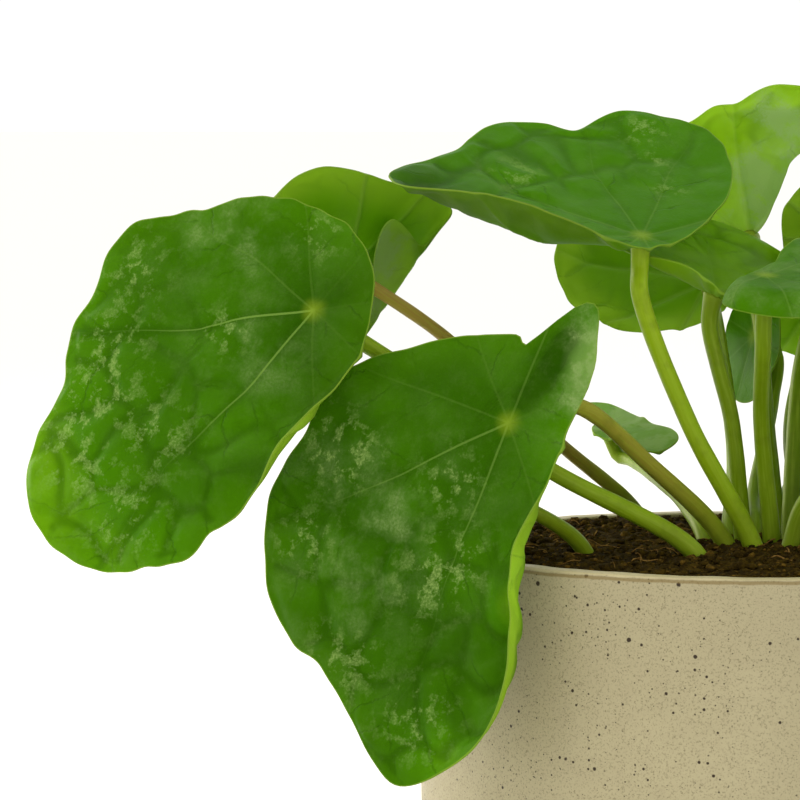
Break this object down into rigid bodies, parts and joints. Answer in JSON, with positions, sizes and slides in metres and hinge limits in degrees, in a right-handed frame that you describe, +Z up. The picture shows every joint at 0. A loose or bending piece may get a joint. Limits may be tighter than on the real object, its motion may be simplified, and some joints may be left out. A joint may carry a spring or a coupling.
{
  "type": "potted pilea plant",
  "caption": "Round-leaved potted houseplant: cupped, drooping stalk-centred leaves on arching stalks above soil in a plain cylindrical speckled pot.",
  "frame": {"origin": "centre of the pot's flat underside", "axes": "+Z up along the pot's axis, -Y towards the side the picture looks at, -X to the left of that view"},
  "size_m": [0.2459, 0.1773, 0.1961],
  "materials": {
    "glaze": "satin, speckled",
    "earth": "matte, crumbly",
    "leaf": "satin",
    "stalk": "satin"
  },
  "bodies": {
    "root": {"pot": "glaze", "soil": "earth", "stalk_01": "stalk", "leaf_01": "leaf", "stalk_02": "stalk", "leaf_02": "leaf", "stalk_03": "stalk", "leaf_03": "leaf", "stalk_04": "stalk", "leaf_04": "leaf", "stalk_05": "stalk", "leaf_05": "leaf", "stalk_06": "stalk", "leaf_06": "leaf", "stalk_07": "stalk", "leaf_07": "leaf", "stalk_08": "stalk", "leaf_08": "leaf", "stalk_09": "stalk", "leaf_09": "leaf", "stalk_10": "stalk", "leaf_10": "leaf", "stalk_11": "stalk", "leaf_11": "leaf", "stalk_12": "stalk", "leaf_12": "leaf", "stalk_13": "stalk", "leaf_13": "leaf", "stalk_14": "stalk", "leaf_14": "leaf", "stalk_15": "stalk", "leaf_15": "leaf", "stalk_16": "stalk", "leaf_16": "leaf", "stalk_17": "stalk", "leaf_17": "leaf", "stalk_18": "stalk", "leaf_18": "leaf", "stalk_19": "stalk", "leaf_19": "leaf"}
  },
  "joints": []
}
